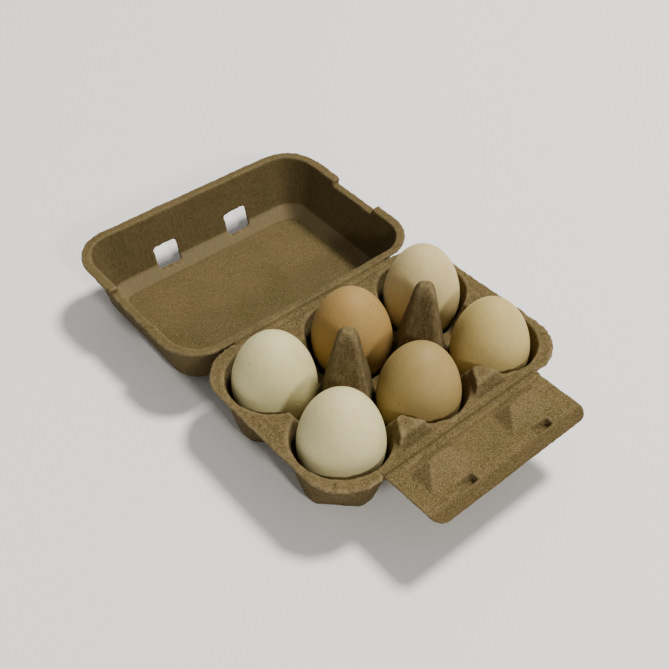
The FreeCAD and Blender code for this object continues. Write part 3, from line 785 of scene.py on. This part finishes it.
class CARTON_OT_lid(CartonOperator, Operator):
    """Mould the lid with its latch holes and thumb recesses"""
    bl_idname = "carton.add_lid"
    bl_label = "Lid"

    def execute(self, context):
        pulp = context.scene.carton_pulp
        piece = remeshed_copy("lid", "lid_pulp", pulp.lid_grid, 4)
        start = closing_height(piece.data, LID_TILT)[0]
        for distance in LID_FOLDS:
            place = LID_HINGE.y + distance
            level = RIM_Z + distance * math.tan(LID_TILT)
            creased(piece.data, (LID_WEB[0].x - 8 * MM, place, level),
                    (LID_WEB[1].x + 8 * MM, place, level), 0.5 * MM, 0.50 * MM, 2 * MM)
        self.tear_holes(piece.data)
        surface_marks(piece.data, 6)
        self.paint_chamfer_sheen(piece.data)
        warped(piece.data, pulp.warp, (7.3, 2.2, 4.1))
        pitted(piece.data, pulp.pitting * 0.6, 7.0, (4.0, 1.0, 6.0))
        kept_clear(piece.data, LID_TILT, start)
        material = pulp_material("pulp_lid", pulp, tone=0.95, roughness=0.80,
                                 grain=0.6, contrast=0.72, streaks=0.09)
        self.finish_pulp(piece, material, "lid", "lid")
        return {"FINISHED"}

    def tear_holes(self, mesh):
        """Fray the edges of the latch holes and of the thumb recesses, never into an opening."""
        there, back = np.array(LID_FLAT), np.array(LID_FLAT.inverted())
        co = points_of(mesh) @ back[:3, :3].T + back[:3, 3]
        coarse = noise_at(co, 2.4 * MM, (2.0, 7.0, 3.0))
        fine = noise_at(co, 1.1 * MM, (5.0, 1.0, 8.0))
        fray = 0.30 + 0.5 * coarse + 0.35 * fine
        fray = np.clip(fray, 0, 1)
        for side in (-1, 1):
            x = co[:, 0] - side * LATCH_SPREAD
            z = co[:, 2] + HOLE_DEPTH
            out_x = np.abs(x) - HOLE_HALF_WIDTH
            out_z = np.abs(z) - HOLE_HALF_HEIGHT
            edge = np.maximum(out_x, out_z)
            near = np.clip(1 - np.abs(edge) / (1.8 * MM), 0, 1) * (co[:, 1] > FAR_WALL)
            across = out_x > out_z
            co[:, 0] += np.where(across, np.sign(x) * fray * near * 0.9 * MM, 0)
            co[:, 2] += np.where(across, 0, np.sign(z) * fray * near * 1.1 * MM)
            ends = np.clip(1 - np.abs(side * co[:, 0] - LID_HALF_LENGTH) / (2.6 * MM), 0, 1)
            recess = (co[:, 1] > RECESS_START) & (co[:, 1] < RECESS_END)
            co[:, 0] -= side * ends * recess * fray * 1.3 * MM
        set_points(mesh, co @ there[:3, :3].T + there[:3, 3])

    def paint_chamfer_sheen(self, mesh):
        """Mark the pressed chamfer round the lid's inner floor, which is smoother, for a paler and
        greyer painted sheen.
        """
        back = np.array(LID_FLAT.inverted())
        co = points_of(mesh) @ back[:3, :3].T + back[:3, 3]
        normals = normals_of(mesh) @ back[:3, :3].T
        facing = normals[:, 2]
        slope = np.clip((0.93 - facing) / 0.06, 0, 1) * np.clip((facing - 0.45) / 0.1, 0, 1)
        deep = np.clip((-CHAMFER_DEPTH - co[:, 2]) / (1.2 * MM), 0, 1)
        colours = marks_of(mesh)
        # Painted sheen on the chamfer, stored in the last column as one minus its strength.
        colours[:, 3] = 1 - slope * deep
        set_marks(mesh, colours)


class CARTON_OT_flap(CartonOperator, Operator):
    """Mould the closure flap with its ribs and latch bumps"""
    bl_idname = "carton.add_flap"
    bl_label = "Closure flap"

    def execute(self, context):
        pulp = context.scene.carton_pulp
        piece = remeshed_copy("closure_flap", "flap_pulp", pulp.flap_grid, 7)
        start = closing_height(piece.data, 0.0)[0]
        self.press_edge(piece.data)
        self.ramp_latches(piece.data)
        surface_marks(piece.data, 9)
        self.paint_facet_light(piece.data)
        warped(piece.data, pulp.warp, (1.3, 8.2, 0.1))
        pitted(piece.data, pulp.pitting * 1.1, 2.5, (9.0, 3.0, 1.0))
        kept_clear(piece.data, 0.0, start)
        material = pulp_material("pulp_flap", pulp, tone=1.10, roughness=0.92,
                                 grain=1.0, contrast=1.0)
        self.finish_pulp(piece, material, "closure_flap", "closure_flap")
        return {"FINISHED"}

    def press_edge(self, mesh):
        """Press the outer edge thin, with folds where it starts and by the hinge."""
        low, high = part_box("closure_flap")
        co = points_of(mesh)
        upper = normals_of(mesh)[:, 2] > 0.3
        reach = np.clip((low.y + FLAP_BAND - co[:, 1]) / FLAP_BAND, 0, 1)
        co[:, 2] -= np.where(upper, (0.30 * np.minimum(reach * 5, 1) + 0.45 * reach) * MM, 0)
        set_points(mesh, co)
        y = high.y - 3.9 * MM
        creased(mesh, (low.x - 12 * MM, y, RIM_Z), (high.x + 12 * MM, y, RIM_Z),
                0.9 * MM, 0.40 * MM, 3 * MM)
        y = low.y + 6.1 * MM
        creased(mesh, (low.x - 12 * MM, y, RIM_Z), (high.x + 12 * MM, y, RIM_Z),
                0.7 * MM, 0.30 * MM, 3 * MM)

    def paint_facet_light(self, mesh):
        """Paint shade on the pressed edge and on the ribs' left facets, and a painted highlight on
        the ribs' slopes that face the edge.
        """
        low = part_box("closure_flap")[0]
        co = points_of(mesh)
        normals = normals_of(mesh)
        colours = marks_of(mesh)
        upper = np.clip((normals[:, 2] - 0.3) / 0.2, 0, 1)
        ribs = upper * np.clip((co[:, 2] - RIM_Z - 0.25 * MM) / (0.5 * MM), 0, 1)
        left = ribs * np.clip((-normals[:, 0] - 0.22) / 0.12, 0, 1)
        slope = ribs * np.clip((-normals[:, 1] - 0.20) / 0.12, 0, 1)
        band = upper * np.clip((low.y + 6.0 * MM - co[:, 1]) / (0.9 * MM), 0, 1)
        # Painted shade on the ribs' left facets and on the pressed edge band.
        colours[:, 1] = np.clip(colours[:, 1] + 0.50 * left + 0.60 * band, 0, 1)
        # Painted highlight on the ribs' slopes that face the edge.
        colours[:, 3] = 1 - 0.22 * slope
        set_marks(mesh, colours)

    def ramp_latches(self, mesh):
        """Fill the left half of each latch pocket with a ramp, and round off its pit."""
        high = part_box("closure_flap")[1]
        co = points_of(mesh)
        normals = normals_of(mesh)
        for side in (-1, 1):
            centre = np.array([side * LATCH_SPREAD, high.y - LATCH_REACH])
            away = centre - co[:, :2]
            inward = (normals[:, :2] * away).sum(1) > 0.25 * np.hypot(*away.T)
            inside = (np.abs(away[:, 0]) < 6.4 * MM) & (np.abs(away[:, 1]) < 3.2 * MM)
            pocket = inside & (inward | (normals[:, 2] > 0.3)) & (co[:, 2] < RIM_Z - 0.2 * MM)
            along = np.clip((-away[:, 0] + 1.2 * MM) / (3.4 * MM), 0, 1)
            shelf = np.clip((-away[:, 0] + 5.6 * MM) / (5.0 * MM), 0, 1)
            keep = 0.36 + 0.12 * shelf + 0.20 * along
            co[:, 2] = np.where(pocket, RIM_Z + (co[:, 2] - RIM_Z) * keep, co[:, 2])
        set_points(mesh, co)


class CARTON_OT_hinges(CartonOperator, Operator):
    """Press the two creased hinge strips"""
    bl_idname = "carton.add_hinges"
    bl_label = "Hinge creases"

    def execute(self, context):
        pulp = context.scene.carton_pulp
        material = pulp_material("pulp_hinge", pulp, tone=1.02, roughness=0.9,
                                 grain=0.9, contrast=0.95)
        for name, hinge, web, leaf, side, tilt, profile in (
                ("lid_crease", LID_HINGE, LID_WEB, "lid", 1, LID_TILT, LID_STRIP),
                ("flap_crease", FLAP_HINGE, FLAP_WEB, "closure_flap", -1, 0.0, FLAP_STRIP)):
            piece = self.strip(name, hinge, web, side, tilt, profile)
            self.finish_pulp(piece, material, None, name.replace("crease", "hinge_web"))
            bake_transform(piece)
        return {"FINISHED"}

    def strip(self, name, hinge, web, side, tilt, profile):
        """One hinge strip: a thin sheet with a crease along its middle and tapered borders."""
        ends, folds, thickness = profile
        count = 28
        top = []
        for number in range(count + 1):
            distance = ends[0] + (ends[1] - ends[0]) * number / count
            border = max(1 - min(distance - ends[0], ends[1] - distance) / 0.7, 0)
            dips = sum(depth * math.exp(-((distance - place) / (0.26 + 0.22 * depth)) ** 2)
                       for place, depth in folds)
            top.append((distance, 0.10 - dips - 0.52 * border))
        under = [(ends[1], -1.15), (2.6, -1.55), (1.2, -1.75), (0.0, -thickness), (-1.2, -1.75),
                 (-2.6, -1.55), (ends[0], -1.15)]
        low, high = web[0].x, web[1].x
        steps = 190
        sections = []
        for step in range(steps + 1):
            x = low + (high - low) * step / steps
            ring = []
            for distance, height in top + under:
                rise = max(distance, 0) * math.tan(tilt)
                place = Vector((x, hinge.y + side * distance * MM, RIM_Z + (height + rise) * MM))
                wave = noise.noise(place / (5 * MM)) * 0.09 + noise.noise(place / (1.6 * MM)) * 0.08
                ring.append(place + Vector((0, 0, wave * MM)))
            sections.append(ring)
        piece = swept_strip(name, sections)
        surface_marks(piece.data, 2)
        return piece


class CARTON_OT_fibres(CartonOperator, Operator):
    """Felt loose fibres onto the pulp"""
    bl_idname = "carton.add_fibres"
    bl_label = "Loose fibres"

    def execute(self, context):
        pulp = context.scene.carton_pulp
        material = self.fibre_material(pulp)
        for number, (source, body) in enumerate((("tray_pulp", "tray"), ("lid_pulp", "lid"),
                                                 ("flap_pulp", "closure_flap"))):
            carrier = object_from_mesh(source + "_fibres", bpy.data.objects[source].data.copy())
            modifier = carrier.modifiers.new("fibres", "NODES")
            modifier.node_group = tree_named("felted_fibres", fibre_tree)
            set_inputs(modifier, {"Density": pulp.fibre_density, "Length": pulp.fibre_length,
                                  "Thickness": FIBRE_THICKNESS, "Seed": pulp.seed + number,
                                  "Material": material})
            piece = baked(carrier, body + "_fibres")
            kept_inside(piece.data)
            tilt = LID_TILT if body == "lid" else 0.0
            kept_clear(piece.data, tilt, closing_height(piece.data, tilt)[0] - 0.25 * MM)
            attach(piece, body)
        return {"FINISHED"}

    def fibre_material(self, pulp):
        """Fibres from straw-pale to brown, changing slowly over the surface."""
        material, nodes, shader = new_material("pulp_fibre")
        place = nodes.add("ShaderNodeTexCoord").outputs["Object"]
        patch = nodes.noise(place, 300, 2.0, 0.6)
        colour = nodes.mix(nodes.ramp(patch, 0.40, 0.62), tuple(pulp.pale),
                           tuple(channel * 0.75 for channel in pulp.colour))
        nodes.tree.links.new(colour, shader.inputs["Base Color"])
        shader.inputs["Roughness"].default_value = 0.8
        shader.inputs["Sheen Weight"].default_value = 0.15
        return material


class CARTON_OT_eggs(CartonOperator, Operator):
    """Lay the six eggs in their cups"""
    bl_idname = "carton.add_eggs"
    bl_label = "Eggs"

    def execute(self, context):
        settings = context.scene.carton_eggs
        for number, (name, (tilt, heading)) in enumerate(EGG_TILTS.items()):
            low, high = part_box(name)
            material = shell_material(name.replace("egg", "shell"), getattr(settings, name), number)
            seed_mesh = bpy.data.meshes.new(name + "_seed")
            carrier = object_from_mesh(name + "_form", seed_mesh)
            modifier = carrier.modifiers.new("egg", "NODES")
            modifier.node_group = tree_named("egg_form", egg_tree)
            set_inputs(modifier, {"Radius": (high.x - low.x) / 2, "Height": high.z - low.z,
                                  "Taper": settings.taper, "Lumps": settings.lumps,
                                  "Seed": number * 3.7, "Material": material})
            piece = baked(carrier, name + "_shell")
            direction = math.radians(heading)
            axis = Vector((-math.sin(direction), math.cos(direction), 0))
            turn = Matrix.Rotation(math.radians(tilt), 4, axis)
            piece.data.transform(Matrix.Translation((low + high) / 2) @ turn)
            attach(piece, name)
            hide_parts(name)
        return {"FINISHED"}


class CARTON_OT_stage(CartonOperator, Operator):
    """Set up the floor, the lights and the camera"""
    bl_idname = "carton.add_stage"
    bl_label = "Studio"

    def execute(self, context):
        stage = context.scene.carton_stage
        self.floor(stage)
        self.lamp("overhead", stage.overhead, 0.55, (0.45, -0.05, 0.92))
        self.lamp("front", stage.front, 0.30, (-0.17, -0.82, 0.54))
        world = bpy.data.worlds.new("studio")
        world.use_nodes = True
        background = world.node_tree.nodes["Background"]
        background.inputs["Color"].default_value = (1.0, 0.99, 0.97, 1.0)
        background.inputs["Strength"].default_value = stage.ambient
        context.scene.world = world
        self.camera(context)
        return {"FINISHED"}

    def floor(self, stage):
        """A wide level floor."""
        shell = bmesh.new()
        bmesh.ops.create_grid(shell, x_segments=8, y_segments=8, size=3.0)
        mesh = bpy.data.meshes.new("floor")
        shell.to_mesh(mesh)
        shell.free()
        mesh.materials.append(floor_material(stage.floor))
        object_from_mesh("floor", mesh)

    def lamp(self, name, power, size, direction):
        """A round lamp that faces the carton from a direction."""
        light = bpy.data.lights.new(name, "AREA")
        light.shape = "DISK"
        light.size = size
        light.energy = power
        light.color = LAMP_COLOUR
        lamp = bpy.data.objects.new(name, light)
        towards = Vector(direction).normalized()
        lamp.location = towards * LAMP_DISTANCE
        lamp.rotation_mode = "QUATERNION"
        lamp.rotation_quaternion = towards.to_track_quat("Z", "Y")
        bpy.context.scene.collection.objects.link(lamp)

    def camera(self, context):
        """A camera above the near left corner, looking down into the open carton."""
        lens = bpy.data.cameras.new("camera")
        lens.sensor_width = 36.0
        lens.lens = 52.57
        lens.shift_x = -0.0075
        lens.shift_y = 0.0029
        lens.clip_start = 0.01
        lens.clip_end = 20.0
        camera = bpy.data.objects.new("camera", lens)
        anchor = Vector((0, TRAY_MIDDLE.y, RIM_Z))
        camera.location = anchor + Vector((-240.6, -238.0, 342.7)) * MM
        pitch = math.radians(90 - 44.289)
        yaw = math.radians(-41.522)
        roll = math.radians(1.064)
        camera.rotation_mode = "QUATERNION"
        turn = Euler((pitch, 0, yaw)).to_quaternion() @ Euler((0, 0, roll)).to_quaternion()
        camera.rotation_quaternion = turn
        context.scene.collection.objects.link(camera)
        context.scene.camera = camera


class CARTON_PT_sidebar(Panel):
    """Buttons and settings of the egg carton"""
    bl_idname = "CARTON_PT_sidebar"
    bl_label = "Egg carton"
    bl_space_type = "VIEW_3D"
    bl_region_type = "UI"
    bl_category = "Egg carton"

    def draw(self, context):
        """List every operator, then every setting."""
        for operator in OPERATORS:
            self.layout.operator(operator.bl_idname)
        for group in (context.scene.carton_pulp, context.scene.carton_eggs,
                      context.scene.carton_stage):
            box = self.layout.box()
            for name in group.__annotations__:
                box.prop(group, name)


SETTINGS = {"carton_pulp": PulpSettings, "carton_eggs": EggSettings, "carton_stage": StageSettings}
OPERATORS = (CARTON_OT_stage, CARTON_OT_tray, CARTON_OT_lid, CARTON_OT_flap, CARTON_OT_hinges,
             CARTON_OT_fibres, CARTON_OT_eggs)


def register():
    """Register the settings, the operators and the panel."""
    for cls in (*SETTINGS.values(), *OPERATORS, CARTON_PT_sidebar):
        bpy.utils.register_class(cls)
    for name, group in SETTINGS.items():
        setattr(bpy.types.Scene, name, PointerProperty(type=group))


def unregister():
    """Undo register()."""
    for name in SETTINGS:
        delattr(bpy.types.Scene, name)
    for cls in reversed((*SETTINGS.values(), *OPERATORS, CARTON_PT_sidebar)):
        bpy.utils.unregister_class(cls)


def main():
    """Build everything."""
    register()
    bpy.ops.carton.add_stage()
    bpy.ops.carton.add_tray()
    bpy.ops.carton.add_lid()
    bpy.ops.carton.add_flap()
    bpy.ops.carton.add_hinges()
    bpy.ops.carton.add_fibres()
    bpy.ops.carton.add_eggs()


if __name__ == "__main__":
    main()
